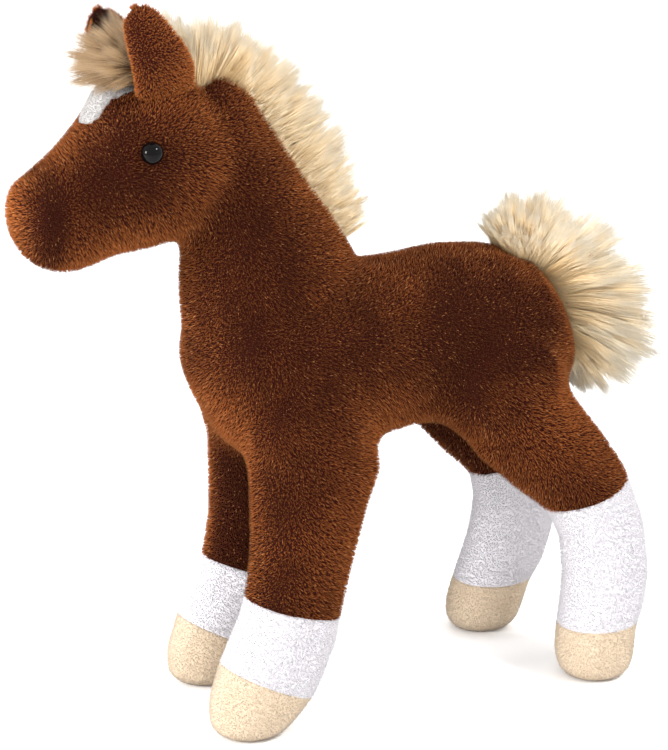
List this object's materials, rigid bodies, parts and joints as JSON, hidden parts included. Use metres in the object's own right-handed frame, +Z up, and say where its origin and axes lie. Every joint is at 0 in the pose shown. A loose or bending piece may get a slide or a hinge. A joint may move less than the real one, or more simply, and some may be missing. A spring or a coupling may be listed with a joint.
{
  "type": "plush horse",
  "caption": "Standing plush foal with upright mane, forelock, full tail, white stockings and flexible legs, head, ears and tail.",
  "frame": {"origin": "on the ground, under the middle of the foal's outline", "axes": "-X towards the nose, -Y to the foal's left side, +Z up"},
  "size_m": [0.2939, 0.104, 0.3077],
  "materials": {
    "chestnut_pile": "short dense plush pile",
    "ear_lining": "short plush pile",
    "flaxen_pile": "long straight pile",
    "white_pile": "short dense plush pile",
    "hoof_pile": "short fleecy pile",
    "wadding": "polyester wadding",
    "eye_black": "high gloss",
    "washer_plastic": "plain moulded"
  },
  "bodies": {
    "torso": {"torso_skin": "chestnut_pile", "torso_filling": "wadding", "neck_skin": "chestnut_pile", "neck_filling": "wadding", "mane": "flaxen_pile"},
    "head": {"head_skin": "chestnut_pile", "head_filling": "wadding", "blaze": "white_pile", "forelock": "flaxen_pile", "eye_left": "eye_black", "eye_right": "eye_black", "eye_washer_left": "washer_plastic", "eye_washer_right": "washer_plastic"},
    "ear_left": {"ear_outer_left": "chestnut_pile", "ear_lining_left": "ear_lining"},
    "ear_right": {"ear_outer_right": "chestnut_pile", "ear_lining_right": "ear_lining"},
    "tail": {"tail": "flaxen_pile"},
    "leg_front_left": {"leg_front_left_skin": "chestnut_pile", "stocking_front_left": "white_pile", "hoof_front_left": "hoof_pile", "leg_front_left_filling": "wadding"},
    "leg_front_right": {"leg_front_right_skin": "chestnut_pile", "stocking_front_right": "white_pile", "hoof_front_right": "hoof_pile", "leg_front_right_filling": "wadding"},
    "leg_hind_left": {"leg_hind_left_skin": "chestnut_pile", "stocking_hind_left": "white_pile", "hoof_hind_left": "hoof_pile", "leg_hind_left_filling": "wadding"},
    "leg_hind_right": {"leg_hind_right_skin": "chestnut_pile", "stocking_hind_right": "white_pile", "hoof_hind_right": "hoof_pile", "leg_hind_right_filling": "wadding"}
  },
  "joints": [
    {"name": "leg_front_left_swing", "type": "hinge", "parent": "torso", "child": "leg_front_left", "pos_m": [-0.03065, -0.022, 0.129], "axis": [0, 1, 0], "range_deg": [-15, 15], "stiffness_Nm_per_rad": 1.2},
    {"name": "leg_front_right_swing", "type": "hinge", "parent": "torso", "child": "leg_front_right", "pos_m": [-0.03065, 0.022, 0.129], "axis": [0, 1, 0], "range_deg": [-15, 15], "stiffness_Nm_per_rad": 1.2},
    {"name": "leg_hind_left_swing", "type": "hinge", "parent": "torso", "child": "leg_hind_left", "pos_m": [0.05935, -0.024, 0.137], "axis": [0, 1, 0], "range_deg": [-12, 12], "stiffness_Nm_per_rad": 1.2},
    {"name": "leg_hind_right_swing", "type": "hinge", "parent": "torso", "child": "leg_hind_right", "pos_m": [0.05935, 0.024, 0.137], "axis": [0, 1, 0], "range_deg": [-12, 12], "stiffness_Nm_per_rad": 1.2},
    {"name": "head_nod", "type": "hinge", "parent": "torso", "child": "head", "pos_m": [-0.08465, 0, 0.24], "axis": [0, 1, 0], "range_deg": [-10, 10], "stiffness_Nm_per_rad": 1},
    {"name": "ear_left_flex", "type": "hinge", "parent": "head", "child": "ear_left", "pos_m": [-0.08215, -0.0165, 0.265], "axis": [0, 1, 0], "range_deg": [-15, 15], "stiffness_Nm_per_rad": 0.05},
    {"name": "ear_right_flex", "type": "hinge", "parent": "head", "child": "ear_right", "pos_m": [-0.08215, 0.0165, 0.2585], "axis": [0, 1, 0], "range_deg": [-15, 15], "stiffness_Nm_per_rad": 0.05},
    {"name": "tail_lift", "type": "hinge", "parent": "torso", "child": "tail", "pos_m": [0.07535, 0, 0.18586], "axis": [0, -1, 0], "range_deg": [-4, 20], "stiffness_Nm_per_rad": 0.25}
  ]
}
